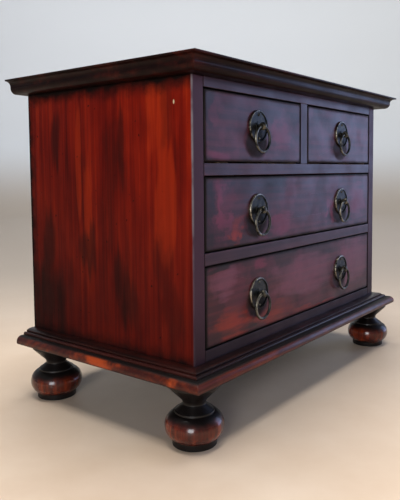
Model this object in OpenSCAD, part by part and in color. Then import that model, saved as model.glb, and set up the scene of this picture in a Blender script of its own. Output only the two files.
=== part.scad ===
// Miniature chest of drawers: two small drawers over two long ones, an ogee-edged top,
// a nosed plinth on four turned bun feet, and ring handles on round backplates.
// Lengths are in millimetres. +Z is up, the drawers open towards -Y, and the origin is
// on the floor, at the middle of the whole object's width and depth.

/* [Body] */
// Width over the outer faces of the side boards
body_w = 270; // [250:1:300]
// Depth from the face of the rails to the back of the side boards
body_d = 162; // [160:1:190]
// Thickness of a side board, which shows at the front as the stile
side_t = 11; // [9:0.5:13]
// Thickness of the back panel
back_t = 4; // [3:0.5:5]

/* [Front] */
// Visible height of the rail under the top board
top_rail_h = 6.5; // [6:0.5:10]
// Height of the opening for the small drawers
small_opening_h = 46.5; // [42:0.5:52]
// Height of the opening for the middle drawer
middle_opening_h = 48.5; // [42:0.5:56]
// Height of the opening for the bottom drawer
bottom_opening_h = 53.5; // [46:0.5:60]
// Thickness of the two rails between the rows of drawers
divider_t = 7.8; // [7:0.1:10]
// Visible height of the rail above the base moulding
bottom_rail_h = 7; // [6:0.5:10]
// Width of the muntin between the two small drawers
muntin_w = 10; // [8:0.5:14]
// Depth of the rails from front to back
rail_d = 25; // [22:1:32]

/* [Top and base] */
// Thickness of the top board
top_t = 10.3; // [10:0.1:12]
// Overhang of the top board at the front and the two ends
top_overhang = 16; // [14:0.5:18]
// Overhang of the top board at the back
back_overhang = 5; // [0:0.5:8]
// Thickness of the plinth board
plinth_t = 6.3; // [6:0.1:8]
// Height of the small moulding that stands on the plinth board
moulding_h = 4; // [4:0.1:5]

/* [Feet] */
// Height of a foot below the plinth board
foot_h = 39; // [38:0.5:42]
// Largest radius of a foot's bun
bun_r = 18.8; // [18:0.1:20]
// Distance of a front foot's centre from the two outer faces of the body's corner
foot_inset = 3; // [2:0.5:8]
// Distance of a back foot's centre from the back of the body
back_foot_inset = 22.4; // [16:0.2:30]

/* [Drawers] */
// Gap round a drawer front
drawer_gap = 0.8; // [0.6:0.1:1.2]
// Thickness of a drawer front
drawer_front_t = 8; // [7:0.5:10]
// Thickness of a drawer's sides and back
drawer_wall_t = 5; // [4:0.5:6]
// Thickness of a drawer's bottom panel
drawer_bottom_t = 3; // [2.5:0.1:3.5]
// Length of a drawer from its face to its back
drawer_l = 150; // [130:1:150]

/* [Handles] */
// Height of the small drawers' handles above the middle of their opening
small_handle_rise = 2.2; // [0:0.1:4]
// Diameter of a backplate
plate_d = 22.4; // [21:0.1:24]
// Outer diameter of a ring
ring_d = 19.5; // [19:0.1:22]
// Diameter of a ring's wire
wire_d = 2; // [1.8:0.1:2.2]
// Distance of an eye's centre from the drawer's face
eye_out = 4.1; // [4.1:0.1:5]

/* [Hidden] */
$fn = 64;
FINISH_DARK = "#2b1512";
FINISH_RED = "#7a2818";
FINISH_FRONT = "#4a1c1c";
BARE_WOOD = "#c49a6c";
BRASS = "#8a7440";
STEEL = "#3a3632";

eps = 0.01;                                    // how far two outlines that meet run together
overlap = 0.5;                                 // how far joined solids run into each other
past = 1;                                      // how far a cutter runs past a face
half_w = body_w / 2;
front_y = -(top_overhang + body_d + back_overhang) / 2 + top_overhang;
back_y = front_y + body_d;
plinth_z = foot_h;                             // underside of the plinth board
carcass_z = plinth_z + plinth_t;               // top of the plinth board
bottom_opening_z = carcass_z + moulding_h + bottom_rail_h;
middle_opening_z = bottom_opening_z + bottom_opening_h + divider_t;
small_opening_z = middle_opening_z + middle_opening_h + divider_t;
top_z = small_opening_z + small_opening_h + top_rail_h;
inner_w = body_w - 2 * side_t;
small_opening_w = (inner_w - muntin_w) / 2;

// Stub tenons and the rebate for the back panel
tenon_l = 5;
tenon_d = 14;
tenon_shoulder = 2;
tenon_set_back = 5;                            // from the rail's face to its tenon
muntin_tenon_l = 3;
muntin_tenon_w = 5;
rebate_w = 6;

// Underside and height of each rail, from the lowest up
BOTTOM_LEVEL = [carcass_z, moulding_h + bottom_rail_h];
LOWER_LEVEL = [middle_opening_z - divider_t, divider_t];
UPPER_LEVEL = [small_opening_z - divider_t, divider_t];
TOP_LEVEL = [top_z - top_rail_h, top_rail_h];
RAIL_LEVELS = [BOTTOM_LEVEL, LOWER_LEVEL, UPPER_LEVEL, TOP_LEVEL];

// Ogee edge of the top board, from its top edge down
fillet_h = 1.3;
fillet_set_in = 0.8;
cavetto_r = 3.8;
ovolo_r = 4.4;

// Nosed edge of the plinth board
nose_r = 4.2;
nose_under_r = 1.4;

// Profile of the small base moulding, measured out from the body and down from its top
slope_r = 11;                                  // flat round that leaves the body
slope_centre_out = 2;
slope_end_out = 6.9;
bead_r = 1.2;
bead_centre_out = 8.4;
bead_centre_down = 3.3;
moulding_out = bead_centre_out + bead_r;

// Turned profile of a foot, heights from the floor
pad_r = 14;
pad_h = 4;
bun_centre_z = 12;
bun_round_r = 9.07;
bun_top_z = 20.3;
collar_r = 12.6;
collar_h = 1.3;
collar_edge = 0.6;                             // flat left round the collar's top
neck_r = 7.3;
neck_z = 25.4;
neck_round_r = 5;                              // leads from the neck into the straight flare
flare_angle = 45;
flare_start_r = neck_r + neck_round_r * (1 - cos(flare_angle));
flare_start_z = neck_z + neck_round_r * sin(flare_angle);
cap_r = 17;
cap_z = flare_start_z + (cap_r - flare_start_r) / tan(flare_angle);
foot_tenon_r = 4.5;
foot_tenon_l = 5;
FOOT_FRONT_LEFT = [-half_w + foot_inset, front_y + foot_inset];
FOOT_FRONT_RIGHT = [half_w - foot_inset, front_y + foot_inset];
FOOT_BACK_LEFT = [-half_w + foot_inset, back_y - back_foot_inset];
FOOT_BACK_RIGHT = [half_w - foot_inset, back_y - back_foot_inset];
FOOT_PLACES = [FOOT_FRONT_LEFT, FOOT_FRONT_RIGHT, FOOT_BACK_LEFT, FOOT_BACK_RIGHT];

// Runners, guide, kickers and stops behind the rails
runner_w = 8;
runner_l = body_d - rail_d - back_t;
centre_runner_w = 30;
guide_h = 9;
stop_size = [12, 8, 3];
stop_places = [0.25, 0.75];                    // along the width of an opening
stop_clear = 0.2;                              // gap between a stop and a drawer front
nail_r = 0.6;
nail_head_r = 1.4;
nail_head_t = 0.6;
nail_l = 11;
side_nail_count = 5;
nail_end_margin = 14;
runner_nail_spacing = 16;

// Drawer joinery
running_gap = 0.2;                             // lift of a drawer above its runners
edge_round_r = 1.2;                            // rounding round a drawer's face
corner_round_r = 2;                            // rounding of its four corners
front_lap = 4;                                 // how far the front covers the sides' ends
side_top_gap = 3;                              // how much lower the sides are than the front
groove_z = 4;                                  // bottom panel's height above the sides' lower edge
groove_depth = 2.5;

// Handle fittings
plate_t = 0.9;
plate_rim_t = 1.5;
plate_rim_w = 1.3;
boss_r = 3.5;
boss_t = 1.2;
shank_r = 1.5;
eye_r = 2.8;
eye_hole_r = 1.45;
eye_w = 3.8;
nut_r = 3.1;
nut_t = 2.4;
thread_clear = 0.05;
shank_past_nut = 1.4;
pin_offset = 8.1;
pin_head_r = 0.95;
pin_shank_r = 0.5;
pin_shank_l = 4;
shank_l = shank_past_nut + nut_t + drawer_front_t + eye_out - eye_r;
ring_r = (ring_d - wire_d) / 2;
// An arc of the ring lies inside the eye: half of its rise there centres it in the hole
ring_rise = ring_r - sqrt(ring_r * ring_r - eye_w * eye_w / 4);

// Each drawer: name, left edge, bottom, width and height of its opening, rise of its handles
TOP_LEFT = [
    "top_left", -half_w + side_t, small_opening_z, small_opening_w, small_opening_h, small_handle_rise
];
TOP_RIGHT = [
    "top_right", muntin_w / 2, small_opening_z, small_opening_w, small_opening_h, small_handle_rise
];
MIDDLE = ["middle", -half_w + side_t, middle_opening_z, inner_w, middle_opening_h, 0];
BOTTOM = ["bottom", -half_w + side_t, bottom_opening_z, inner_w, bottom_opening_h, 0];
DRAWERS = [TOP_LEFT, TOP_RIGHT, MIDDLE, BOTTOM];
function drawer_name(drawer) = drawer[0];
function opening_x(drawer) = drawer[1];
function opening_z(drawer) = drawer[2];
function opening_w(drawer) = drawer[3];
function opening_h(drawer) = drawer[4];
function handle_rise(drawer) = drawer[5];
function right_side_x(drawer) =
    opening_x(drawer) + opening_w(drawer) - drawer_gap - drawer_wall_t;

// The handles stand in two columns, in line with the middles of the small drawers
left_handle_x = -(muntin_w + small_opening_w) / 2;
right_handle_x = -left_handle_x;
function handle_z(drawer) = opening_z(drawer) + opening_h(drawer) / 2 + handle_rise(drawer);
function handle_xs(drawer) =
    [
        for (x = [left_handle_x, right_handle_x])
            if (x > opening_x(drawer) && x < opening_x(drawer) + opening_w(drawer)) x
    ];

RINGS = [
    ["ring_top_left", left_handle_x, TOP_LEFT],
    ["ring_top_right", right_handle_x, TOP_RIGHT],
    ["ring_middle_left", left_handle_x, MIDDLE],
    ["ring_middle_right", right_handle_x, MIDDLE],
    ["ring_bottom_left", left_handle_x, BOTTOM],
    ["ring_bottom_right", right_handle_x, BOTTOM]
];

CARCASS_NODES = [
    "top_board", "side_board_left", "side_board_right", "back_panel", "back_panel_nails",
    "top_rail", "upper_divider_rail", "lower_divider_rail", "bottom_rail", "muntin",
    "plinth_board", "base_moulding_front", "base_moulding_left", "base_moulding_right",
    "upper_side_runners", "lower_side_runners", "bottom_side_runners",
    "centre_runner", "centre_guide", "kicker_strips", "drawer_stops",
    "foot_front_left", "foot_front_right", "foot_back_left", "foot_back_right"
];
DRAWER_PIECES = [
    "front", "side_left", "side_right", "back", "bottom_panel",
    "backplates", "handle_fixings"
];

// ---- Top board ----

// A board's section that ends at x = reach in an ogee edge: fillet, cavetto, ovolo
module ogee_section(reach) {
    cavetto_z = top_t - fillet_h - cavetto_r;
    waist = reach - fillet_set_in - cavetto_r;
    translate([0, top_t - fillet_h])
        square([reach, fillet_h]);
    translate([0, ovolo_r])
        square([waist, top_t - ovolo_r]);
    difference() {
        translate([waist - eps, cavetto_z])
            square([cavetto_r + eps, cavetto_r + eps]);
        translate([reach - fillet_set_in, cavetto_z])
            circle(r = cavetto_r);
    }
    square([waist - ovolo_r, top_t]);
    translate([waist - ovolo_r, ovolo_r])
        intersection() {
            circle(r = ovolo_r);
            translate([-eps, -ovolo_r])
                square([2 * ovolo_r, ovolo_r + eps]);
        }
}

// Runs a section back to front for length, from y = 0 to -Y; its x lies along X
module run_forwards(length) {
    rotate([90, 0, 0])
        linear_extrude(height = length)
            children();
}

// Runs a section from side to side for length, centred on x = 0; its x lies along -Y
module run_across(length) {
    translate([length / 2, 0, 0])
        rotate([90, 0, -90])
            linear_extrude(height = length)
                children();
}

module top_board() {
    reach = half_w + top_overhang;
    depth = top_overhang + body_d + back_overhang;
    color(FINISH_DARK)
        translate([0, back_y + back_overhang, top_z])
            intersection() {
                run_forwards(depth)
                    for (side = [0, 1])
                        mirror([side, 0])
                            translate([-eps, 0])
                                ogee_section(reach + eps);
                run_across(2 * reach)
                    ogee_section(depth);
            }
}

// ---- Sides, back and rails ----

// The stub tenon of a rail at one level, reaching across the whole body
module rail_tenon(level) {
    translate([-half_w + side_t - tenon_l, front_y + tenon_set_back, level[0] + tenon_shoulder])
        cube([inner_w + 2 * tenon_l, tenon_d, level[1] - 2 * tenon_shoulder]);
}

module side_board_left() {
    color(FINISH_RED)
        difference() {
            translate([-half_w, front_y, carcass_z])
                cube([side_t, body_d, top_z - carcass_z]);
            translate([-half_w + side_t - rebate_w, back_y - back_t, carcass_z - past])
                cube([rebate_w + past, back_t + past, top_z - carcass_z + 2 * past]);
            for (level = RAIL_LEVELS)
                rail_tenon(level);
        }
}

module side_board_right() {
    mirror([1, 0, 0])
        side_board_left();
}

module back_panel() {
    color(BARE_WOOD)
        translate([-half_w + side_t - rebate_w, back_y - back_t, carcass_z])
            cube([inner_w + 2 * rebate_w, back_t, top_z - carcass_z]);
}

module nail() {
    translate([0, nail_head_t, 0])
        rotate([90, 0, 0]) {
            cylinder(r = nail_head_r, h = nail_head_t);
            cylinder(r = nail_r, h = nail_l + nail_head_t);
        }
}

module back_panel_nails() {
    first_z = carcass_z + nail_end_margin;
    pitch = (top_z - carcass_z - 2 * nail_end_margin) / (side_nail_count - 1);
    edge_x = half_w - side_t + rebate_w / 2;
    color(STEEL) {
        for (x = [-edge_x, edge_x], i = [0 : side_nail_count - 1])
            translate([x, back_y, first_z + i * pitch])
                nail();
        for (x = [-runner_nail_spacing / 2, runner_nail_spacing / 2])
            translate([x, back_y, small_opening_z - divider_t / 2])
                nail();
    }
}

module rail(level) {
    color(FINISH_FRONT) {
        translate([-half_w + side_t, front_y, level[0]])
            cube([inner_w, rail_d, level[1]]);
        rail_tenon(level);
    }
}

// The muntin's stub tenons, which pass into the rails above and below it
module muntin_tenon() {
    translate([-muntin_tenon_w / 2, front_y + tenon_set_back, small_opening_z - muntin_tenon_l])
        cube([muntin_tenon_w, tenon_d, small_opening_h + 2 * muntin_tenon_l]);
}

module top_rail() {
    difference() {
        rail(TOP_LEVEL);
        muntin_tenon();
    }
}

module upper_divider_rail() {
    difference() {
        rail(UPPER_LEVEL);
        muntin_tenon();
    }
}

module lower_divider_rail() {
    rail(LOWER_LEVEL);
}

module bottom_rail() {
    rail(BOTTOM_LEVEL);
}

module muntin() {
    color(FINISH_FRONT) {
        translate([-muntin_w / 2, front_y, small_opening_z])
            cube([muntin_w, rail_d, small_opening_h]);
        muntin_tenon();
    }
}

// ---- Plinth and base moulding ----

// A board's section that ends at x = reach in a nose: round above, a smaller round below
module nose_section(reach) {
    nose_z = plinth_t - nose_r;
    square([reach - nose_r, plinth_t]);
    translate([reach - nose_r - eps, nose_z])
        intersection() {
            translate([eps, 0])
                circle(r = nose_r);
            square([nose_r + eps, nose_r]);
        }
    translate([0, nose_under_r])
        square([reach, nose_z - nose_under_r]);
    square([reach - nose_under_r, nose_under_r + eps]);
    translate([reach - nose_under_r, nose_under_r])
        circle(r = nose_under_r);
}

module plinth_board() {
    reach = half_w + top_overhang;
    depth = top_overhang + body_d;
    color(FINISH_RED)
        difference() {
            translate([0, back_y, plinth_z])
                intersection() {
                    run_forwards(depth)
                        for (side = [0, 1])
                            mirror([side, 0])
                                translate([-eps, 0])
                                    nose_section(reach + eps);
                    run_across(2 * reach)
                        nose_section(depth);
                }
            for (place = FOOT_PLACES)
                translate([place[0], place[1], plinth_z - past])
                    cylinder(r = foot_tenon_r, h = foot_tenon_l + past);
        }
}

// Section of the small moulding: x is the distance out from the body, y the height
module moulding_section() {
    intersection() {
        square([slope_end_out, moulding_h]);
        union() {
            square([slope_centre_out, moulding_h]);
            translate([slope_centre_out, moulding_h - slope_r])
                circle(r = slope_r);
        }
    }
    square([moulding_out, moulding_h - bead_centre_down]);
    translate([bead_centre_out, moulding_h - bead_centre_down])
        circle(r = bead_r);
    square([bead_centre_out, moulding_h - bead_centre_down + bead_r / 2]);
}

module base_moulding_front() {
    color(FINISH_DARK)
        translate([0, front_y, carcass_z])
            intersection() {
                run_across(body_w + 2 * moulding_out)
                    moulding_section();
                linear_extrude(height = moulding_h)
                    polygon([
                        [-half_w, 0],
                        [half_w, 0],
                        [half_w + moulding_out, -moulding_out],
                        [-half_w - moulding_out, -moulding_out]
                    ]);
            }
}

module base_moulding_left() {
    color(FINISH_DARK)
        translate([-half_w, back_y, carcass_z])
            intersection() {
                run_forwards(body_d + moulding_out)
                    mirror([1, 0])
                        moulding_section();
                linear_extrude(height = moulding_h)
                    polygon([
                        [0, 0],
                        [0, -body_d],
                        [-moulding_out, -body_d - moulding_out],
                        [-moulding_out, 0]
                    ]);
            }
}

module base_moulding_right() {
    mirror([1, 0, 0])
        base_moulding_left();
}

// ---- Feet ----

// Half section of a foot: pad, bun, collar, neck, flare and cap
module foot_section() {
    collar_top_z = bun_top_z + collar_h;
    square([pad_r, pad_h + overlap]);
    intersection() {
        square([bun_r, bun_top_z]);
        union() {
            square([bun_r - bun_round_r, bun_top_z]);
            translate([bun_r - bun_round_r, bun_centre_z])
                circle(r = bun_round_r);
        }
    }
    translate([0, bun_top_z - overlap])
        square([collar_r, collar_h + overlap]);
    polygon([
        [0, collar_top_z - overlap],
        [collar_r - collar_edge, collar_top_z],
        [neck_r, neck_z],
        [0, neck_z]
    ]);
    difference() {
        polygon([
            [0, neck_z],
            [flare_start_r, neck_z],
            [flare_start_r, flare_start_z],
            [cap_r, cap_z],
            [0, cap_z]
        ]);
        translate([neck_r + neck_round_r, neck_z])
            circle(r = neck_round_r);
    }
    translate([0, cap_z])
        square([cap_r, foot_h - cap_z]);
    square([foot_tenon_r, foot_h + foot_tenon_l]);
}

module foot(place) {
    color(FINISH_RED)
        translate([place[0], place[1], 0])
            rotate_extrude()
                foot_section();
}

// ---- Runners, guide, kickers and stops ----

// Runners along both side boards, with their top face at height z
module side_runners(z, height) {
    color(BARE_WOOD)
        for (x = [-half_w + side_t, half_w - side_t - runner_w])
            translate([x, front_y + rail_d, z - height])
                cube([runner_w, runner_l, height]);
}

module centre_runner() {
    color(BARE_WOOD)
        translate([-centre_runner_w / 2, front_y + rail_d, small_opening_z - divider_t])
            cube([centre_runner_w, runner_l, divider_t]);
}

module centre_guide() {
    color(BARE_WOOD)
        translate([-muntin_w / 2, front_y + rail_d, small_opening_z])
            cube([muntin_w, runner_l, guide_h]);
}

module kicker_strips() {
    color(BARE_WOOD)
        for (x = [-half_w + side_t, -runner_w / 2, half_w - side_t - runner_w])
            translate([x, front_y + rail_d, top_z - top_rail_h])
                cube([runner_w, runner_l, top_rail_h]);
}

// Two small blocks glued on the rail under each drawer, just behind its closed front
module drawer_stops() {
    color(BARE_WOOD)
        for (drawer = DRAWERS, at = stop_places)
            translate([
                opening_x(drawer) + at * opening_w(drawer) - stop_size[0] / 2,
                front_y + drawer_front_t + stop_clear,
                opening_z(drawer)
            ])
                cube(stop_size);
}

// ---- Drawers ----

module rounded_rectangle(width, height, r) {
    for (x = [r, width - r], y = [r, height - r])
        translate([x, y])
            circle(r = r);
    translate([r, 0])
        square([width - 2 * r, height]);
    translate([0, r])
        square([width, height - 2 * r]);
}

// A board with rounded corners whose face, at y = 0, has rounded edges: crossed sections mitre them
module rounded_face_board(width, depth, height) {
    intersection() {
        translate([0, depth + past, 0])
            rotate([90, 0, 0])
                linear_extrude(height = depth + 2 * past)
                    rounded_rectangle(width, height, corner_round_r);
        linear_extrude(height = height)
            difference() {
                rounded_rectangle(width, depth + 2 * edge_round_r, edge_round_r);
                translate([-past, depth])
                    square([width + 2 * past, 3 * edge_round_r]);
            }
        rotate([90, 0, 90])
            linear_extrude(height = width)
                difference() {
                    rounded_rectangle(depth + 2 * edge_round_r, height, edge_round_r);
                    translate([depth, -past])
                        square([3 * edge_round_r, height + 2 * past]);
                }
    }
}

// The bottom panel, which also cuts its own grooves in the front and the sides
module drawer_bottom_blank(drawer) {
    inner_x = drawer_gap + drawer_wall_t - groove_depth;
    translate([
        opening_x(drawer) + inner_x,
        front_y + drawer_front_t - groove_depth,
        opening_z(drawer) + running_gap + groove_z
    ])
        cube([
            opening_w(drawer) - 2 * inner_x,
            drawer_l - drawer_front_t + groove_depth,
            drawer_bottom_t
        ]);
}

module drawer_side(drawer, x) {
    color(BARE_WOOD)
        difference() {
            translate([x, front_y + drawer_front_t - front_lap, opening_z(drawer) + running_gap])
                cube([
                    drawer_wall_t,
                    drawer_l - drawer_front_t + front_lap,
                    opening_h(drawer) - running_gap - side_top_gap
                ]);
            drawer_bottom_blank(drawer);
        }
}

module drawer_side_left(drawer) {
    drawer_side(drawer, opening_x(drawer) + drawer_gap);
}

module drawer_side_right(drawer) {
    drawer_side(drawer, right_side_x(drawer));
}

module drawer_front(drawer) {
    color(FINISH_FRONT)
        difference() {
            translate([opening_x(drawer) + drawer_gap, front_y, opening_z(drawer) + drawer_gap])
                rounded_face_board(
                    opening_w(drawer) - 2 * drawer_gap,
                    drawer_front_t,
                    opening_h(drawer) - 2 * drawer_gap
                );
            // Laps for the two sides
            for (x = [opening_x(drawer) - past, right_side_x(drawer)])
                translate([x, front_y + drawer_front_t - front_lap, opening_z(drawer) - past])
                    cube([
                        drawer_wall_t + drawer_gap + past,
                        front_lap + past,
                        opening_h(drawer) - side_top_gap + past
                    ]);
            drawer_bottom_blank(drawer);
            for (x = handle_xs(drawer))
                translate([x, front_y, handle_z(drawer)])
                    handle_holes();
        }
}

module drawer_back(drawer) {
    inner_x = drawer_gap + drawer_wall_t;
    floor_z = running_gap + groove_z + drawer_bottom_t;
    color(BARE_WOOD)
        translate([
            opening_x(drawer) + inner_x,
            front_y + drawer_l - drawer_wall_t,
            opening_z(drawer) + floor_z
        ])
            cube([
                opening_w(drawer) - 2 * inner_x,
                drawer_wall_t,
                opening_h(drawer) - floor_z - side_top_gap
            ]);
}

module drawer_bottom_panel(drawer) {
    color(BARE_WOOD)
        drawer_bottom_blank(drawer);
}

// ---- Handles: each is drawn about the point where the eye's line meets the drawer's face ----

// Turns a shape that stands along +Z so that it stands out of the drawer's face
module outwards() {
    rotate([90, 0, 0])
        children();
}

// The holes that a handle's shank and pins need in the drawer front
module handle_holes() {
    outwards() {
        translate([0, 0, -drawer_front_t - past])
            cylinder(r = shank_r, h = drawer_front_t + 2 * past);
        for (side = [-1, 1])
            translate([0, side * pin_offset, -pin_shank_l])
                cylinder(r = pin_shank_r, h = pin_shank_l + past);
    }
}

module backplate() {
    outwards()
        difference() {
            rotate_extrude() {
                square([plate_d / 2, plate_t]);
                square([boss_r, boss_t]);
                translate([plate_d / 2 - plate_rim_w, 0])
                    square([plate_rim_w / 2, plate_rim_t]);
                translate([plate_d / 2 - plate_rim_w / 2, plate_rim_t - plate_rim_w / 2])
                    circle(r = plate_rim_w / 2);
                translate([plate_d / 2 - plate_rim_w, 0])
                    square([plate_rim_w, plate_rim_t - plate_rim_w / 2]);
            }
            translate([0, 0, -past])
                cylinder(r = shank_r, h = boss_t + 2 * past);
            for (side = [-1, 1])
                translate([0, side * pin_offset, -past])
                    cylinder(r = pin_shank_r, h = plate_t + 2 * past);
        }
}

// An eye on a shank: a ball with two flats and a cross hole that the ring hangs in
module eye_post() {
    difference() {
        outwards() {
            translate([0, 0, -drawer_front_t - nut_t - shank_past_nut])
                cylinder(r = shank_r, h = shank_l + overlap);
            intersection() {
                translate([0, 0, eye_out])
                    sphere(r = eye_r);
                translate([-eye_w / 2, -eye_r, boss_t])
                    cube([eye_w, 2 * eye_r, eye_out + eye_r]);
            }
        }
        translate([0, -eye_out, 0])
            rotate([0, 90, 0])
                cylinder(r = eye_hole_r, h = 2 * eye_r, center = true);
    }
}

module nut() {
    outwards()
        translate([0, 0, -drawer_front_t - nut_t])
            difference() {
                cylinder(r = nut_r, h = nut_t, $fn = 6);
                translate([0, 0, -past])
                    cylinder(r = shank_r + thread_clear, h = nut_t + 2 * past);
            }
}

module dome_pin() {
    outwards() {
        translate([0, 0, -pin_shank_l])
            cylinder(r = pin_shank_r, h = pin_shank_l + plate_t + overlap);
        intersection() {
            translate([0, 0, plate_t])
                sphere(r = pin_head_r);
            translate([-pin_head_r, -pin_head_r, plate_t])
                cube(2 * pin_head_r);
        }
    }
}

module drawer_backplates(drawer) {
    color(BRASS)
        for (x = handle_xs(drawer))
            translate([x, front_y, handle_z(drawer)])
                backplate();
}

module drawer_handle_fixings(drawer) {
    color(BRASS)
        for (x = handle_xs(drawer))
            translate([x, front_y, handle_z(drawer)]) {
                eye_post();
                nut();
                for (side = [-1, 1])
                    translate([0, 0, side * pin_offset])
                        dome_pin();
            }
}

// A ring hanging from the eye, with the arc in the eye centred on the cross hole
module handle_ring(x, drawer) {
    color(BRASS)
        translate([x, front_y - eye_out, handle_z(drawer) + ring_rise / 2 - ring_r])
            rotate([90, 0, 0])
                rotate_extrude()
                    translate([ring_r, 0])
                        circle(d = wire_d);
}

top_board();
side_board_left();
side_board_right();
back_panel();
back_panel_nails();
top_rail();
upper_divider_rail();
lower_divider_rail();
bottom_rail();
muntin();
plinth_board();
base_moulding_front();
base_moulding_left();
base_moulding_right();
side_runners(small_opening_z, divider_t);  // upper_side_runners
side_runners(middle_opening_z, divider_t);  // lower_side_runners
side_runners(bottom_opening_z, moulding_h + bottom_rail_h);  // bottom_side_runners
centre_runner();
centre_guide();
kicker_strips();
drawer_stops();
foot(FOOT_FRONT_LEFT);  // foot_front_left
foot(FOOT_FRONT_RIGHT);  // foot_front_right
foot(FOOT_BACK_LEFT);  // foot_back_left
foot(FOOT_BACK_RIGHT);  // foot_back_right
for (drawer = DRAWERS) {
    prefix = str(drawer_name(drawer), "_drawer_");
    drawer_front(drawer);
    drawer_side_left(drawer);
    drawer_side_right(drawer);
    drawer_back(drawer);
    drawer_bottom_panel(drawer);
    drawer_backplates(drawer);
    drawer_handle_fixings(drawer);
}
for (ring = RINGS)
    handle_ring(ring[1], ring[2]);
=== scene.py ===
import math

import bpy
from mathutils import Matrix, Vector


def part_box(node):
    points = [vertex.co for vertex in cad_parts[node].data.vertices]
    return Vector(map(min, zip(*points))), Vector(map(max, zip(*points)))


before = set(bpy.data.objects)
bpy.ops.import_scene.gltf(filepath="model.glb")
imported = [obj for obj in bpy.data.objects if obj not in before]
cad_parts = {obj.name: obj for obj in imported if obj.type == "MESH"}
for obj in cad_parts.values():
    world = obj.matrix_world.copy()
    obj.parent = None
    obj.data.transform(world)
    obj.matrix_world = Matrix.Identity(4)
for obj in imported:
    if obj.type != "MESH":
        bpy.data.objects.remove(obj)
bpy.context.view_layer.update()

# The miniature chest of drawers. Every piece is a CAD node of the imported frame. This script gives
# each one its material and rounds its arrises, and adds the floor, the lights and the camera.

MM = 0.001

# Places that the materials are laid out by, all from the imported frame. RING_DROP is from the top
# of a drawer front down to the middle of its rings.
SIDE_LOW, SIDE_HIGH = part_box("side_board_left")
FRONT_Y = SIDE_LOW.y
BACK_Y = SIDE_HIGH.y
HALF_W = -SIDE_LOW.x
BODY_LOW_Z = SIDE_LOW.z
BODY_HIGH_Z = SIDE_HIGH.z
MOULDING_TOP_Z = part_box("base_moulding_left")[1].z
PLINTH_LOW, PLINTH_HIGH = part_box("plinth_board")
RING_LOW, RING_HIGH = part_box("ring_middle_right")
HANDLE_X = (RING_LOW.x + RING_HIGH.x) / 2
RING_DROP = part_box("middle_drawer_front")[1].z - (RING_LOW.z + RING_HIGH.z) / 2


# ---- Building materials node by node ----

# A Mix node uses the names A, B and Result once for each kind of data: colours have these numbers
MIX_COLOUR_A, MIX_COLOUR_B, MIX_COLOUR_RESULT = 6, 7, 2


class Shader:
    """A material under construction. Each method adds a node and returns its output."""

    def __init__(self, name):
        self.material = bpy.data.materials.new(name)
        self.material.use_nodes = True
        self.tree = self.material.node_tree
        self.tree.nodes.clear()

    def node(self, kind, inputs, output=0, **settings):
        """Adds one node. An input is a value, or another node's output to link from."""
        node = self.tree.nodes.new("ShaderNode" + kind)
        for name, value in settings.items():
            setattr(node, name, value)
        for key, value in inputs.items():
            if isinstance(value, bpy.types.NodeSocket):
                self.tree.links.new(value, node.inputs[key])
            else:
                node.inputs[key].default_value = value
        return node.outputs[output]

    def math(self, operation, *values):
        return self.node("Math", dict(enumerate(values)), operation=operation)

    def place(self):
        """Where the surface point is, in the object's own frame."""
        return self.node("TexCoord", {}, output="Object")

    def axes(self, vector):
        split = self.node("SeparateXYZ", {0: vector}).node
        return split.outputs[0], split.outputs[1], split.outputs[2]

    def joined(self, x, y, z):
        return self.node("CombineXYZ", {0: x, 1: y, 2: z})

    def scaled(self, vector, scale, shift=(0, 0, 0)):
        return self.node("Mapping", {"Vector": vector, "Location": shift, "Scale": scale})

    def noise(self, vector, scale, detail=3.0, roughness=0.5, distortion=0.0):
        inputs = {
            "Vector": vector, "Scale": scale, "Detail": detail,
            "Roughness": roughness, "Distortion": distortion,
        }
        return self.node("TexNoise", inputs)

    def rise(self, value, start, end):
        """0 at start and 1 at end, with soft shoulders. start may be the larger one."""
        inputs = {"Value": value, "From Min": start, "From Max": end}
        return self.node("MapRange", inputs, interpolation_type="SMOOTHSTEP")

    def spread(self, value, start, end, low, high):
        """low at start and high at end, straight between them."""
        inputs = {"Value": value, "From Min": start, "From Max": end, "To Min": low, "To Max": high}
        return self.node("MapRange", inputs)

    def square_sum(self, first, second):
        return self.math("MULTIPLY_ADD", second, second, self.math("MULTIPLY", first, first))

    def ramp(self, value, stops):
        """A colour ramp through stops, each a position and a colour."""
        output = self.node("ValToRGB", {0: value})
        elements = output.node.color_ramp.elements
        while len(elements) < len(stops):
            elements.new(0.5)
        for element, (position, colour) in zip(elements, stops):
            element.position = position
            element.color = (*colour, 1)
        return output

    def mix(self, factor, first, second):
        """first where factor is 0 and second where it is 1. Each is a colour or a socket."""
        first, second = [(*c, 1) if isinstance(c, tuple) else c for c in (first, second)]
        inputs = {0: factor, MIX_COLOUR_A: first, MIX_COLOUR_B: second}
        return self.node("Mix", inputs, output=MIX_COLOUR_RESULT, data_type="RGBA")

    def tinted(self, colour, mask, strength, tint):
        """The colour with the tint laid over it where the mask is, as thick as strength says."""
        return self.mix(self.math("MULTIPLY", mask, strength), colour, tint)

    def finish(self, bump_height, bump_distance, **sockets):
        """Closes the material: a Principled surface whose bump follows bump_height."""
        normal = self.node("Bump", {"Height": bump_height, "Distance": bump_distance})
        inputs = {name.replace("_", " "): value for name, value in sockets.items()}
        surface = self.node("BsdfPrincipled", {"Normal": normal, **inputs})
        output = self.tree.nodes.new("ShaderNodeOutputMaterial")
        self.tree.links.new(surface, output.inputs["Surface"])
        return self.material


# ---- Wood ----

GRAIN_ORDER = {"x": (1, 2, 0), "y": (0, 2, 1), "z": (0, 1, 2)}     # the grain's axis comes last
WAVE_PERIOD = 2 * math.pi / 20         # gap between a wave texture's rings at scale 1


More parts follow.
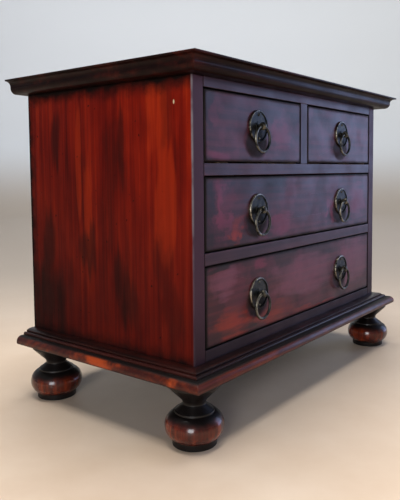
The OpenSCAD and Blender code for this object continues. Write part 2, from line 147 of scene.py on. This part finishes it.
def grain_place(shader, grain, shift):
    """The surface point with the grain turned along Z and shifted to another part of the log."""
    parts = shader.axes(shader.place())
    turned = shader.joined(*[parts[i] for i in GRAIN_ORDER[grain]])
    return shader.scaled(turned, (1, 1, 1), shift)


def stretched_noise(shader, at, scale, squeeze, detail, distortion=0.0):
    """Noise drawn out along the grain: squeeze is its scale along the grain over that across."""
    return shader.noise(shader.scaled(at, (1, 1, squeeze)), scale, detail, 0.55, distortion)


def wood_figure(shader, at, ring_gap, weights):
    """The wood's figure from about 0.3 to 0.7, and its finest fibres on their own."""
    rings = shader.node("TexWave", {
        "Vector": shader.scaled(at, (1, 1, 0.05)), "Scale": WAVE_PERIOD / ring_gap,
        "Distortion": 9.0, "Detail": 3.0, "Detail Scale": 0.6, "Detail Roughness": 0.6,
    }, output="Fac", wave_type="RINGS", rings_direction="Z", wave_profile="SIN")
    fibres = stretched_noise(shader, at, 1500, 0.02, 3.0)
    layers = [
        (stretched_noise(shader, at, 85, 0.07, 3.0, 0.8), weights["flames"]),
        (stretched_noise(shader, at, 430, 0.022, 3.0, 0.3), weights["streaks"]),
        (stretched_noise(shader, at, 24, 0.45, 3.0, 0.6), weights["blotches"]),
        (rings, weights["rings"]),
        (fibres, weights["fibres"]),
    ]
    figure = 0.0
    for layer, weight in layers:
        figure = shader.math("MULTIPLY_ADD", layer, weight, figure)
    return figure, fibres


# How much each layer counts in a figure
PLAIN_FIGURE = {"flames": 0.20, "streaks": 0.22, "blotches": 0.38, "rings": 0.06, "fibres": 0.14}
SIDE_FIGURE = {"flames": 0.20, "streaks": 0.24, "blotches": 0.36, "rings": 0.06, "fibres": 0.14}
FRONT_FIGURE = {"flames": 0.18, "streaks": 0.13, "blotches": 0.50, "rings": 0.06, "fibres": 0.13}


def stained_wood(name, grain, stops, shift, weights=PLAIN_FIGURE, shade=None,
                 roughness=(0.28, 0.44), specular=0.22, coat=0.0):
    """Varnished wood. stops colours the figure. shade(shader, at, colour) returns the colour tinted
    by place, with dirt and painted shade, and how dirty or shaded each place is: that dulls the
    varnish."""
    shader = Shader(name)
    at = grain_place(shader, grain, shift)
    figure, fibres = wood_figure(shader, at, 6 * MM, weights)
    colour = shader.ramp(figure, stops)
    smear = shader.noise(shader.place(), 55, 4.0, 0.6)
    rough = shader.spread(smear, 0.3, 0.7, *roughness)
    if shade:
        colour, dull_mask = shade(shader, at, colour)
        rough = shader.math("MULTIPLY_ADD", dull_mask, 0.4, rough)
        if coat:
            polish = shader.math("MULTIPLY_ADD", dull_mask, -0.9, 1.0)
            coat = shader.math("MULTIPLY", polish, coat)
    ripple = shader.noise(shader.place(), 70, 2.0, 0.4)
    relief = shader.math("MULTIPLY_ADD", fibres, 0.35, ripple)
    return shader.finish(
        relief, 0.06 * MM, Base_Color=colour, Roughness=rough,
        Coat_Weight=coat, Coat_Roughness=0.10, Specular_IOR_Level=specular,
    )


# Stains, marks and painted light, then the colours that each wood's figure runs through
NEAR_BLACK = (0.0040, 0.0022, 0.0020)
# the stile's own colour with the bluish painted sheen of the window in it
STILE_PLUM_AND_SHEEN = (0.053, 0.0250, 0.0400)
# painted highlight on the sides' front arris
ARRIS_HIGHLIGHT_GREY = (0.20, 0.18, 0.20)
CHIP_CREAM = (0.55, 0.42, 0.26)
TONGUE_ORANGE = (0.36, 0.028, 0.0045)
GLOW_ORANGE = (0.24, 0.0150, 0.0035)
ROSE_RED = (0.165, 0.0170, 0.0460)
# painted sheen: the window's bluish reflection over the red fronts
SHEEN_MAUVE = (0.25, 0.0750, 0.1250)
RUBBED_ORANGE = (0.34, 0.050, 0.010)
SIDE_STOPS = [
    (0.38, (0.060, 0.0022, 0.0012)), (0.46, (0.120, 0.0044, 0.0016)),
    (0.54, (0.185, 0.0085, 0.0022)), (0.63, (0.290, 0.0210, 0.0040)),
]
FRONT_STOPS = [
    (0.38, (0.014, 0.0028, 0.0055)), (0.50, (0.036, 0.0052, 0.0090)), (0.62, (0.074, 0.0100, 0.0145)),
]
RAIL_STOPS = [
    (0.38, (0.018, 0.0085, 0.0150)), (0.52, (0.040, 0.0170, 0.0270)), (0.64, (0.070, 0.0240, 0.0330)),
]
DARK_STOPS = [
    (0.38, (0.0040, 0.0020, 0.0020)), (0.52, (0.010, 0.0034, 0.0032)), (0.64, (0.042, 0.0076, 0.0056)),
]
PLINTH_STOPS = [
    (0.38, (0.014, 0.0034, 0.0028)), (0.50, (0.045, 0.0085, 0.0060)), (0.63, (0.13, 0.022, 0.0090)),
]
FOOT_STOPS = [
    (0.38, (0.016, 0.0036, 0.0024)), (0.50, (0.070, 0.0085, 0.0040)), (0.63, (0.26, 0.036, 0.0085)),
]
PINE_STOPS = [
    (0.36, (0.38, 0.21, 0.10)), (0.50, (0.55, 0.35, 0.18)), (0.64, (0.66, 0.47, 0.27)),
]


def rightward(shader, x):
    """How far a point lies to the right of the centre line of its own handle."""
    side = shader.math("SIGN", x)
    return shader.math("MULTIPLY_ADD", side, -HANDLE_X, x)


def ragged_edge_band(shader, distance, reach, ragged=0.5):
    """1 at the edge, fading to 0 at reach, with a ragged border."""
    wobble = shader.noise(shader.place(), 90, 3.0, 0.6)
    offset = shader.math("MULTIPLY_ADD", wobble, -2 * ragged * reach, ragged * reach)
    return shader.rise(shader.math("ADD", distance, offset), reach, 0.0)


def most(shader, masks):
    """The strongest of several masks at each place."""
    strongest = masks[0]
    for mask in masks[1:]:
        strongest = shader.math("MAXIMUM", strongest, mask)
    return strongest


# Marks in the wood and patches of painted sheen on the fronts, each an oval in millimetres: how far
# along, how far up from the base moulding, half its width and half its height. Along a side is back
# from the chest's front, and along the front is rightward from the chest's left side.
TONGUES = [(25, 150, 4.5, 46), (22, 96, 9.5, 40), (104, 128, 3.5, 40), (96, 92, 4, 34)]
DARK_STREAKS = [
    (61, 138, 5, 28), (57, 34, 10, 26), (66, 52, 7, 26), (97, 66, 8, 20), (130, 140, 8, 22),
    (140, 66, 9, 30), (146, 24, 22, 30),
]
CHIP = (14.5, 162, 0.7, 1.6)           # on the left side only
FRONT_GLOWS = [(38, 19, 27, 12), (86, 14, 36, 8), (150, 9, 55, 4), (41, 82, 8, 9)]
FRONT_ROSES = [
    (31, 94, 6, 20), (26, 129, 20, 7), (78, 55, 10, 6), (102, 80, 18, 9), (180, 84, 6, 12),
    (104, 146, 14, 12), (232, 92, 22, 14),
]
# patches of painted sheen on the fronts
FRONT_SHEEN_PATCHES = [(32, 47, 24, 11), (136, 39, 54, 18), (226, 38, 34, 24)]
FRONT_DARKS = [(15, 96, 9, 26), (18, 158, 8, 14), (90, 112, 26, 6), (22, 58, 14, 4)]
MARK_END = 1.15                        # an oval's fading goes just past its size, squared


def marks(shader, along, up, places, solid=0.25):
    """1 inside any of the oval marks, fading to 0 at their edges. along and up are in metres.
    solid is how much of an oval's area has no fading, as a part of 1."""
    ovals = []
    for middle, height, half_width, half_height in places:
        sideways = shader.math("SUBTRACT", along, middle * MM)
        upward = shader.math("SUBTRACT", up, height * MM)
        sideways = shader.math("DIVIDE", sideways, half_width * MM)
        upward = shader.math("DIVIDE", upward, half_height * MM)
        ovals.append(shader.rise(shader.square_sum(sideways, upward), MARK_END, solid))
    return most(shader, ovals)


def wavering(shader, distance, noise, reach):
    """The distance, put out by noise by up to about a quarter of the reach either way."""
    return shader.math("MULTIPLY_ADD", noise, reach, shader.math("SUBTRACT", distance, reach / 2))


def gap_shade_and_dirt(shader, y):
    """Painted shade and dirt just behind the front, in the gaps round the drawers."""
    behind_face = shader.rise(y, FRONT_Y + 0.05 * MM, FRONT_Y + 0.3 * MM)
    near_face = shader.rise(y, FRONT_Y + 16 * MM, FRONT_Y + 6 * MM)
    return shader.math("MULTIPLY", behind_face, near_face)


def low_darkening(shader, z):
    """Darker on the lowest part of the chest's front, just above the base moulding."""
    height = shader.rise(z, MOULDING_TOP_Z + 50 * MM, MOULDING_TOP_Z + 4 * MM)
    return shader.math("MULTIPLY", height, 0.5)


def rail_shade(shader, at, colour):
    """A rail or the muntin: plain, with painted shade and dirt in the gaps round the drawers, and
    darker low down.
    """
    y, z = shader.axes(shader.place())[1:]
    dull_mask = most(shader, [gap_shade_and_dirt(shader, y), low_darkening(shader, z)])
    return shader.mix(dull_mask, colour, NEAR_BLACK), dull_mask


def arris_highlight(shader, x, y, z):
    """The painted highlight on the front arris of a side, which fades downwards."""
    outermost = shader.rise(shader.math("ABSOLUTE", x), HALF_W - 1.4 * MM, HALF_W - 0.3 * MM)
    foremost = shader.rise(y, FRONT_Y + 1.4 * MM, FRONT_Y + 0.3 * MM)
    patchy_mask = shader.rise(shader.noise(shader.place(), 45, 3.0, 0.6), 0.25, 0.62)
    high_up = shader.rise(z, BODY_LOW_Z + 30 * MM, BODY_HIGH_Z - 30 * MM)
    painted_light_and_wear = shader.math("MULTIPLY", shader.math("MULTIPLY", outermost, foremost), patchy_mask)
    return shader.math("MULTIPLY", painted_light_and_wear, shader.math("MULTIPLY_ADD", high_up, 0.85, 0.1))


def side_marks(shader, at, colour, back, up):
    """Orange tongues, dark streaks and black specks in the wood of a side."""
    wide = stretched_noise(shader, at, 60, 0.12, 4.0, 0.4)
    thin = stretched_noise(shader, at, 210, 0.05, 3.0)
    tongues = marks(
        shader, wavering(shader, back, wide, 8 * MM), wavering(shader, up, thin, 36 * MM),
        TONGUES, 0.7)
    streaks = marks(
        shader, wavering(shader, back, wide, 20 * MM), wavering(shader, up, thin, 70 * MM),
        DARK_STREAKS, 0.1)
    veins = shader.rise(stretched_noise(shader, at, 42, 0.25, 4.0, 0.5), 0.46, 0.34)
    specks = shader.rise(shader.noise(shader.place(), 310, 0.0), 0.20, 0.16)
    colour = shader.tinted(colour, tongues, 0.42, TONGUE_ORANGE)
    for mask, strength in ((streaks, 0.6), (veins, 0.35), (specks, 0.8)):
        colour = shader.tinted(colour, mask, strength, NEAR_BLACK)
    return colour


def side_border(shader, y, z):
    """Darker along the top, the bottom and the back edge of a side."""
    return most(shader, [
        ragged_edge_band(shader, shader.math("SUBTRACT", BODY_HIGH_Z, z), 12 * MM),
        ragged_edge_band(shader, shader.math("SUBTRACT", z, BODY_LOW_Z), 14 * MM),
        ragged_edge_band(shader, shader.math("SUBTRACT", BACK_Y, y), 9 * MM),
    ])


def side_shade(shader, at, colour):
    """Marks along the grain, painted shade low down and towards the back, dark at the borders. The
    front edge is the stile, with its own colour and bluish painted sheen, and a painted arris
    highlight."""
    x, y, z = shader.axes(shader.place())
    back = shader.math("SUBTRACT", y, FRONT_Y)
    up = shader.math("SUBTRACT", z, MOULDING_TOP_Z)
    colour = side_marks(shader, at, colour, back, up)
    # Painted shade: darker low down and towards the back of the side
    painted_low_shade = shader.rise(z, BODY_HIGH_Z - 20 * MM, BODY_LOW_Z + 10 * MM)
    colour = shader.tinted(colour, painted_low_shade, 0.52, NEAR_BLACK)
    colour = shader.tinted(colour, shader.rise(y, FRONT_Y, BACK_Y), 0.25, NEAR_BLACK)
    border = side_border(shader, y, z)
    colour = shader.mix(border, colour, NEAR_BLACK)
    # The stile, in its own colour with bluish painted sheen
    stile = shader.rise(y, FRONT_Y + 1.2 * MM, FRONT_Y + 0.2 * MM)
    colour = shader.mix(stile, colour, STILE_PLUM_AND_SHEEN)
    colour = shader.tinted(colour, stile, low_darkening(shader, z), NEAR_BLACK)
    # Painted highlight along the front arris
    colour = shader.mix(arris_highlight(shader, x, y, z), colour, ARRIS_HIGHLIGHT_GREY)
    on_left = shader.math("LESS_THAN", x, 0.0)
    colour = shader.tinted(colour, marks(shader, back, up, [CHIP]), on_left, CHIP_CREAM)
    # Painted shade and dirt on the inner faces, in the gaps round the drawers
    inside = shader.rise(shader.math("ABSOLUTE", x), HALF_W - 3 * MM, HALF_W - 4 * MM)
    gap = shader.math("MULTIPLY", gap_shade_and_dirt(shader, y), inside)
    colour = shader.mix(gap, colour, NEAR_BLACK)
    dull_mask = most(shader, [border, gap, shader.math("MULTIPLY", painted_low_shade, 0.85)])
    return colour, shader.math("MULTIPLY", dull_mask, shader.math("SUBTRACT", 1.0, stile))


def inset_in_face(shader, x, z, low, high, corner):
    """How far a point lies inside a face's rounded outline: never more than the corner radius."""
    across = shader.math(
        "MINIMUM", shader.math("SUBTRACT", x, low.x), shader.math("SUBTRACT", high.x, x))
    up = shader.math(
        "MINIMUM", shader.math("SUBTRACT", z, low.z), shader.math("SUBTRACT", high.z, z))
    across = shader.math("MAXIMUM", shader.math("SUBTRACT", corner, across), 0.0)
    up = shader.math("MAXIMUM", shader.math("SUBTRACT", corner, up), 0.0)
    return shader.math("SUBTRACT", corner, shader.math("SQRT", shader.square_sum(across, up)))


def ring_shadow_and_grime(shader, x, z, front_high_z):
    """Painted shadow of each ring on the wood behind it, with a dark stain of dirt, heavier on the
    left handles.
    """
    across = shader.math("ADD", rightward(shader, x), 1.5 * MM)
    across = shader.math("DIVIDE", across, 13 * MM)
    up = shader.math("SUBTRACT", z, front_high_z - RING_DROP)
    up = shader.math("DIVIDE", up, 10.5 * MM)
    squares = shader.square_sum(across, up)
    cloud = shader.noise(shader.place(), 130, 3.0, 0.6)
    shadow_and_stain = shader.rise(shader.math("MULTIPLY_ADD", cloud, 0.8, squares), 1.7, 1.0)
    left = shader.rise(x, 10 * MM, -10 * MM)
    return shader.math("MULTIPLY", shadow_and_stain, shader.math("MULTIPLY_ADD", left, 0.15, 0.75))


FRONT_CORNER = 4 * MM                  # radius of the dirty border's corners


def drawer_shade(low, high):
    """Rose, dark and orange patches and mauve painted sheen on one drawer's front, painted shade and
    dirt round its edge, and the rings' painted shadows.
    """

    def shade(shader, at, colour):
        x, y, z = shader.axes(shader.place())
        cloud = shader.noise(shader.place(), 42, 4.0, 0.6)
        streak = stretched_noise(shader, at, 130, 0.15, 4.0)
        right = wavering(shader, shader.math("ADD", x, HALF_W), cloud, 60 * MM)
        up = wavering(shader, shader.math("SUBTRACT", z, MOULDING_TOP_Z), streak, 34 * MM)
        blush = shader.rise(cloud, 0.46, 0.60)
        flecks = shader.math("MULTIPLY_ADD", shader.rise(streak, 0.42, 0.58), 0.55, 0.45)
        glow = shader.math("MULTIPLY", marks(shader, right, up, FRONT_GLOWS, 0.0), flecks)
        for mask, strength, tint in (
            (blush, 0.18, ROSE_RED),
            (marks(shader, right, up, FRONT_ROSES, 0.0), 0.55, ROSE_RED),
            # patches of painted sheen
            (marks(shader, right, up, FRONT_SHEEN_PATCHES, 0.0), 0.38, SHEEN_MAUVE),
            (marks(shader, right, up, FRONT_DARKS, 0.0), 0.75, NEAR_BLACK),
            (glow, 0.78, GLOW_ORANGE),
        ):
            colour = shader.tinted(colour, mask, strength, tint)
        # Painted shade and dirt along the front's edge, beside the gap round the drawer
        inset = inset_in_face(shader, x, z, low, high, FRONT_CORNER)
        at_face = shader.rise(y, low.y + 3.5 * MM, low.y + 1.5 * MM)
        border = shader.math("MULTIPLY", ragged_edge_band(shader, inset, 3 * MM, 0.2), at_face)
        # Painted shadow of the rings, with some dirt, on the wood behind them
        ring_shadow_and_dirt = ring_shadow_and_grime(shader, x, z, high.z)
        for mask in (ring_shadow_and_dirt, border):
            colour = shader.mix(mask, colour, NEAR_BLACK)
        return colour, most(shader, [border, ring_shadow_and_dirt])
    return shade


def plinth_shade(shader, at, colour):
    """Rubbed orange patches along the nose of the two ends, and dark wood above and below it."""
    x, _, z = shader.axes(shader.place())
    patchy_mask = shader.rise(shader.noise(shader.place(), 38, 4.0, 0.6), 0.52, 0.68)
    at_end = shader.rise(shader.math("ABSOLUTE", x), HALF_W + 2 * MM, HALF_W + 7 * MM)
    weight = shader.math("MULTIPLY_ADD", at_end, 0.75, 0.2)
    colour = shader.tinted(colour, patchy_mask, weight, RUBBED_ORANGE)
    dull_mask = most(shader, [
        shader.rise(z, PLINTH_LOW.z + 1.6 * MM, PLINTH_LOW.z + 0.2 * MM),
        shader.rise(z, PLINTH_HIGH.z - 1.1 * MM, PLINTH_HIGH.z - 0.1 * MM),
    ])
    return shader.mix(dull_mask, colour, NEAR_BLACK), shader.math("MULTIPLY", dull_mask, 0.6)


def foot_shade(shader, at, colour):
    """Dark in the neck, round the collar and on the pad, red on the bun between them. The back
    feet are darker than the front ones, by painted shade."""
    y, z = shader.axes(shader.place())[1:]
    wobble = shader.noise(shader.place(), 60, 2.0, 0.5)
    ragged_z = shader.math("MULTIPLY_ADD", wobble, 6 * MM, z)
    dull_mask = most(shader, [
        shader.rise(ragged_z, 17 * MM, 22 * MM), shader.rise(ragged_z, 9 * MM, 6.5 * MM),
    ])
    # Painted shade: the back feet darker
    colour = shader.tinted(colour, shader.rise(y, 0.0, BACK_Y), 0.4, NEAR_BLACK)
    return shader.mix(dull_mask, colour, NEAR_BLACK), shader.math("MULTIPLY", dull_mask, 0.7)


def bare_wood(name, grain, shift):
    """Planed pine that was never stained: dull, with fine lines along the grain."""
    shader = Shader(name)
    at = grain_place(shader, grain, shift)
    figure, fibres = wood_figure(shader, at, 5 * MM, PLAIN_FIGURE)
    rough = shader.spread(fibres, 0, 1, 0.50, 0.72)
    return shader.finish(
        fibres, 0.12 * MM, Base_Color=shader.ramp(figure, PINE_STOPS), Roughness=rough,
        Specular_IOR_Level=0.3,
    )


# ---- Metal ----

DARK_BRASS_STOPS = [
    (0.36, (0.018, 0.021, 0.023)), (0.50, (0.034, 0.036, 0.035)), (0.64, (0.060, 0.058, 0.048)),
]
# worn brass, also the colour of painted highlights on the rings and rims
WORN_AND_HIGHLIT_BRASS = (0.36, 0.33, 0.26)


def aged_brass(name, painted_light_and_wear):
    """Brass gone nearly black. The function passed in returns how far handling and a painted highlight
    have brightened each place, and how far painted shade has darkened it."""
    shader = Shader(name)
    tarnish = shader.noise(shader.place(), 260, 4.0, 0.6, 0.3)
    worn_and_highlit, painted_shade = painted_light_and_wear(shader)
    bright = shader.math("MULTIPLY", worn_and_highlit, shader.rise(tarnish, 0.34, 0.56))
    colour = shader.mix(painted_shade, shader.ramp(tarnish, DARK_BRASS_STOPS), NEAR_BLACK)
    colour = shader.mix(bright, colour, WORN_AND_HIGHLIT_BRASS)
    rough = shader.math("MULTIPLY_ADD", bright, -0.22, 0.50)
    dents = shader.noise(shader.place(), 600, 3.0, 0.5)
    return shader.finish(
        dents, 0.02 * MM, Base_Color=colour, Roughness=rough, Metallic=1.0,
    )


def plate_rim(low, high):
    """A drawer's backplates: a painted highlight on the upper left of their raised rims, painted shade
    low down.
    """
    radius = (high.z - low.z) / 2
    centre_z = (high.z + low.z) / 2

    def painted_light_and_wear(shader):
        x, _, z = shader.axes(shader.place())
        across = rightward(shader, x)
        up = shader.math("SUBTRACT", z, centre_z)
        from_centre = shader.math("SQRT", shader.square_sum(across, up))
        rim = shader.rise(from_centre, radius - 0.9 * MM, radius - 0.5 * MM)
        # Painted highlight on the upper left of the rim
        corner = shader.math("MULTIPLY_ADD", up, 0.7, shader.math("MULTIPLY", across, -1.0))
        upper_left = shader.rise(corner, 0.0, 8 * MM)
        worn_and_highlit = shader.math("MULTIPLY", rim, shader.math("MULTIPLY_ADD", upper_left, 0.8, 0.02))
        # Painted shade on the lower half
        below = shader.rise(up, 1.5 * MM, -3 * MM)
        return worn_and_highlit, shader.math("MULTIPLY", below, 0.65)
    return painted_light_and_wear


def ring_wear_and_highlight(shader):
    """A ring or an eye: brightened unevenly by wear, with a painted highlight on the left, and without
    painted shade.
    """
    patches = shader.spread(shader.noise(shader.place(), 120, 2.0, 0.5), 0.35, 0.65, 0.25, 0.75)
    x = shader.axes(shader.place())[0]
    # Painted highlight on the left of each ring
    left = shader.rise(rightward(shader, x), 5 * MM, -7 * MM)
    return shader.math("MULTIPLY", patches, shader.math("MULTIPLY_ADD", left, 0.8, 0.12)), 0.0


def nail_steel(name):
    """Dull steel with small patches of rust."""
    shader = Shader(name)
    rust = shader.noise(shader.place(), 900, 4.0, 0.6)
    colour = shader.ramp(rust, [(0.45, (0.20, 0.19, 0.18)), (0.65, (0.14, 0.055, 0.025))])
    return shader.finish(rust, 0.03 * MM, Base_Color=colour, Roughness=0.5, Metallic=0.85)


MATERIALS = {
    "top": stained_wood("dark_top_wood", "x", DARK_STOPS, (0.02, 0.09, 0.3), specular=0.07),
    "side": stained_wood("red_side_wood", "z", SIDE_STOPS, (0.06, 0.015, 0.0), SIDE_FIGURE,
                         side_shade, specular=0.07),
    "rail": stained_wood("rail_wood", "x", RAIL_STOPS, (0.11, 0.02, 0.4), shade=rail_shade,
                         specular=0.19),
    "muntin": stained_wood("muntin_wood", "z", RAIL_STOPS, (0.07, 0.04, 0.2), shade=rail_shade,
                           specular=0.19),
    "moulding_across": stained_wood("moulding_wood_across", "x", DARK_STOPS, (0.03, 0.05, 0.6)),
    "moulding_along": stained_wood("moulding_wood_along", "y", DARK_STOPS, (0.05, 0.02, 0.5)),
    "plinth": stained_wood("plinth_wood", "x", PLINTH_STOPS, (0.04, 0.06, 0.7), shade=plinth_shade),
    "foot": stained_wood("foot_wood", "z", FOOT_STOPS, (0.02, 0.07, 0.8), shade=foot_shade,
                         roughness=(0.14, 0.26), coat=0.45),
    "pine_across": bare_wood("pine_across", "x", (0.05, 0.03, 0.0)),
    "pine_along": bare_wood("pine_along", "y", (0.04, 0.06, 0.0)),
    "pine_up": bare_wood("pine_up", "z", (0.08, 0.05, 0.0)),
    "brass": aged_brass("ring_brass", ring_wear_and_highlight),
    "steel": nail_steel("nail_steel"),
}
MATERIAL_WORDS = [
    ("handle_fixings", "brass"), ("ring_", "brass"),
    ("drawer_side", "pine_along"), ("drawer_back", "pine_across"),
    ("bottom_panel", "pine_across"), ("nails", "steel"), ("back_panel", "pine_up"),
    ("side_board", "side"), ("top_board", "top"), ("muntin", "muntin"),
    ("plinth", "plinth"), ("moulding_front", "moulding_across"), ("moulding", "moulding_along"),
    ("foot_", "foot"), ("_rail", "rail"), ("stops", "pine_across"),
]


def material_for(node):
    """The material of a CAD node, from the words in its name."""
    if node.endswith("drawer_front"):
        return stained_wood(node + "_wood", "x", FRONT_STOPS, (0.05, 0.03, 0.1), FRONT_FIGURE,
                            drawer_shade(*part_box(node)), specular=0.225)
    if node.endswith("backplates"):
        return aged_brass(node + "_brass", plate_rim(*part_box(node)))
    for word, key in MATERIAL_WORDS:
        if word in node:
            return MATERIALS[key]
    return MATERIALS["pine_along"]


# ---- Pieces ----

# Softened arrises, by the first word found in a node's name: everything else is left crisp
ARRIS = [
    ("side_board", 0.8 * MM), ("top_board", 0.5 * MM), ("plinth", 0.5 * MM), ("muntin", 0.3 * MM),
    ("_rail", 0.3 * MM), ("foot_", 0.25 * MM), ("drawer_side", 0.3 * MM), ("backplates", 0.3 * MM),
    ("drawer_back", 0.3 * MM), ("moulding", 0.25 * MM), ("runner", 0.3 * MM), ("guide", 0.4 * MM),
    ("stops", 0.4 * MM),
]
WELD_REACH = 0.004 * MM
FLAT_ANGLE = math.radians(0.5)         # triangles that turn less than this lie in one flat face
ARRIS_ANGLE = math.radians(40)         # edges that turn less than this belong to a curve


def weld(piece):
    """Joins the corners that lie on each other, which leaves no sliver of a triangle between."""
    joined = piece.modifiers.new("weld", "WELD")
    joined.merge_threshold = WELD_REACH


def soften(piece, width):
    """Joins the triangles into flat faces and rounds the arrises between them."""
    flats = piece.modifiers.new("flats", "DECIMATE")
    flats.decimate_type = "DISSOLVE"
    flats.angle_limit = FLAT_ANGLE
    bevel = piece.modifiers.new("arris", "BEVEL")
    bevel.width = width
    bevel.segments = 3
    bevel.limit_method = "ANGLE"
    bevel.angle_limit = ARRIS_ANGLE


def dress_frame():
    """Gives every CAD node its material, and rounds the arrises of those in the list."""
    for name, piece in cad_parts.items():
        piece.data.materials.clear()
        piece.data.materials.append(material_for(name))
        weld(piece)
        for word, width in ARRIS:
            if word in name:
                soften(piece, width)
                weld(piece)
                break


# ---- Stage, light and camera ----

FLAT_REACH = 1.75                      # how far out the floor is flat
FLOOR_BEND = 0.75                      # radius of the curve between floor and wall
WALL_HEIGHT = 2.6
BEND_STEPS, TURN_STEPS = 12, 96
FLOOR_TURN = math.radians(-53)         # so that the floor's own +Y points away from the camera


def floor_outline():
    """The floor's section from the middle out and up, as points of distance and height."""
    outline = [(0.02, 0.0), (0.6, 0.0), (FLAT_REACH, 0.0)]
    for i in range(1, BEND_STEPS + 1):
        angle = math.pi / 2 * i / BEND_STEPS
        distance = FLAT_REACH + FLOOR_BEND * math.sin(angle)
        outline.append((distance, FLOOR_BEND - FLOOR_BEND * math.cos(angle)))
    outline.append((FLAT_REACH + FLOOR_BEND, WALL_HEIGHT))
    return outline


def floor_mesh():
    """The outline turned round the middle, with a fan of triangles to close it there."""
    outline = floor_outline()
    vertices = [(0, 0, 0)]
    for radius, z in outline:
        for j in range(TURN_STEPS):
            turn = 2 * math.pi * j / TURN_STEPS
            vertices.append((radius * math.cos(turn), radius * math.sin(turn), z))
    faces = []
    for j in range(TURN_STEPS):
        after = (j + 1) % TURN_STEPS
        faces.append((0, 1 + j, 1 + after))
        for i in range(len(outline) - 1):
            ring = 1 + i * TURN_STEPS
            above = ring + TURN_STEPS
            faces.append((ring + j, above + j, above + after, ring + after))
    mesh = bpy.data.meshes.new("floor")
    mesh.from_pydata(vertices, [], faces)
    for face in mesh.polygons:
        face.use_smooth = True
    return mesh


def floor_material():
    """Matt and mottled, warm near the camera, with painted shade making it greyer and darker far off,
    and cool up the wall.
    """
    shader = Shader("pale_floor")
    mottle = shader.noise(shader.place(), 9, 5.0, 0.6)
    colour = shader.ramp(mottle, [(0.35, (0.70, 0.54, 0.40)), (0.65, (0.78, 0.63, 0.49))])
    y, z = shader.axes(shader.place())[1:]
    # Painted shade: darker and greyer far from the camera
    colour = shader.mix(shader.rise(y, -0.35, 0.55), colour, (0.38, 0.325, 0.27))
    colour = shader.mix(shader.rise(z, 0.0, 0.3), colour, (0.62, 0.65, 0.68))
    grit = shader.noise(shader.place(), 260, 3.0, 0.6)
    return shader.finish(grit, 0.05 * MM, Base_Color=colour, Roughness=0.55)


def pale_floor():
    """A round pale floor that curves up into a wall all about, so that no horizon shows."""
    mesh = floor_mesh()
    mesh.materials.append(floor_material())
    floor = bpy.data.objects.new("floor", mesh)
    floor.rotation_euler = (0, 0, FLOOR_TURN)
    bpy.context.scene.collection.objects.link(floor)


def softbox(name, place, target, size, power, colour):
    """A rectangular light at place that faces target. size is its width and height."""
    light = bpy.data.lights.new(name, "AREA")
    light.shape = "RECTANGLE"
    light.size, light.size_y = size
    light.energy = power
    light.color = colour
    lamp = bpy.data.objects.new(name, light)
    lamp.location = place
    lamp.rotation_euler = (Vector(target) - Vector(place)).to_track_quat("-Z", "Y").to_euler()
    bpy.context.scene.collection.objects.link(lamp)


def light_scene():
    """A cool window on the right, soft light from above and the camera's side, and a lit wall."""
    middle = (0, 0, 0.11)
    softbox("window_right", (1.40, -0.82, 0.42), middle, (0.8, 1.1), 10, (0.42, 0.56, 1.0))
    softbox("overhead", (0.0, 0.05, 1.5), middle, (1.1, 0.9), 30, (1.0, 0.97, 0.93))
    softbox("camera_side", (-1.35, -0.66, 0.35), middle, (0.5, 0.6), 11, (0.93, 0.96, 1.0))
    softbox("wall_wash", (1.10, 0.83, 1.25), (2.1, 1.58, 0.4), (1.8, 0.5), 13, (1.0, 1.0, 1.0))
    world = bpy.data.worlds.new("studio")
    world.use_nodes = True
    background = world.node_tree.nodes["Background"]
    background.inputs["Color"].default_value = (0.90, 0.94, 1.0, 1)
    background.inputs["Strength"].default_value = 0.05
    bpy.context.scene.world = world


CAMERA_PLACE = (-0.4079, -0.3044, 0.1695)
CAMERA_TURN, CAMERA_DIP, CAMERA_ROLL = -52.97, 3.94, -0.38     # degrees


def place_camera():
    """The camera stands off the front left corner, a little above half the chest's height, and
    looks slightly down."""
    camera_data = bpy.data.cameras.new("camera")
    camera_data.lens = 42.66
    camera_data.sensor_width = 36
    camera_data.shift_x = -0.0472
    camera_data.shift_y = -0.0782
    camera_data.clip_start = 0.02
    camera = bpy.data.objects.new("camera", camera_data)
    turn = Matrix.Rotation(math.radians(CAMERA_TURN), 4, "Z")
    tilt = Matrix.Rotation(math.radians(90 - CAMERA_DIP), 4, "X")
    roll = Matrix.Rotation(math.radians(CAMERA_ROLL), 4, "Z")
    camera.matrix_world = Matrix.Translation(CAMERA_PLACE) @ turn @ tilt @ roll
    bpy.context.scene.collection.objects.link(camera)
    bpy.context.scene.camera = camera


dress_frame()
pale_floor()
light_scene()
place_camera()
bpy.context.scene.view_settings.view_transform = "Standard"
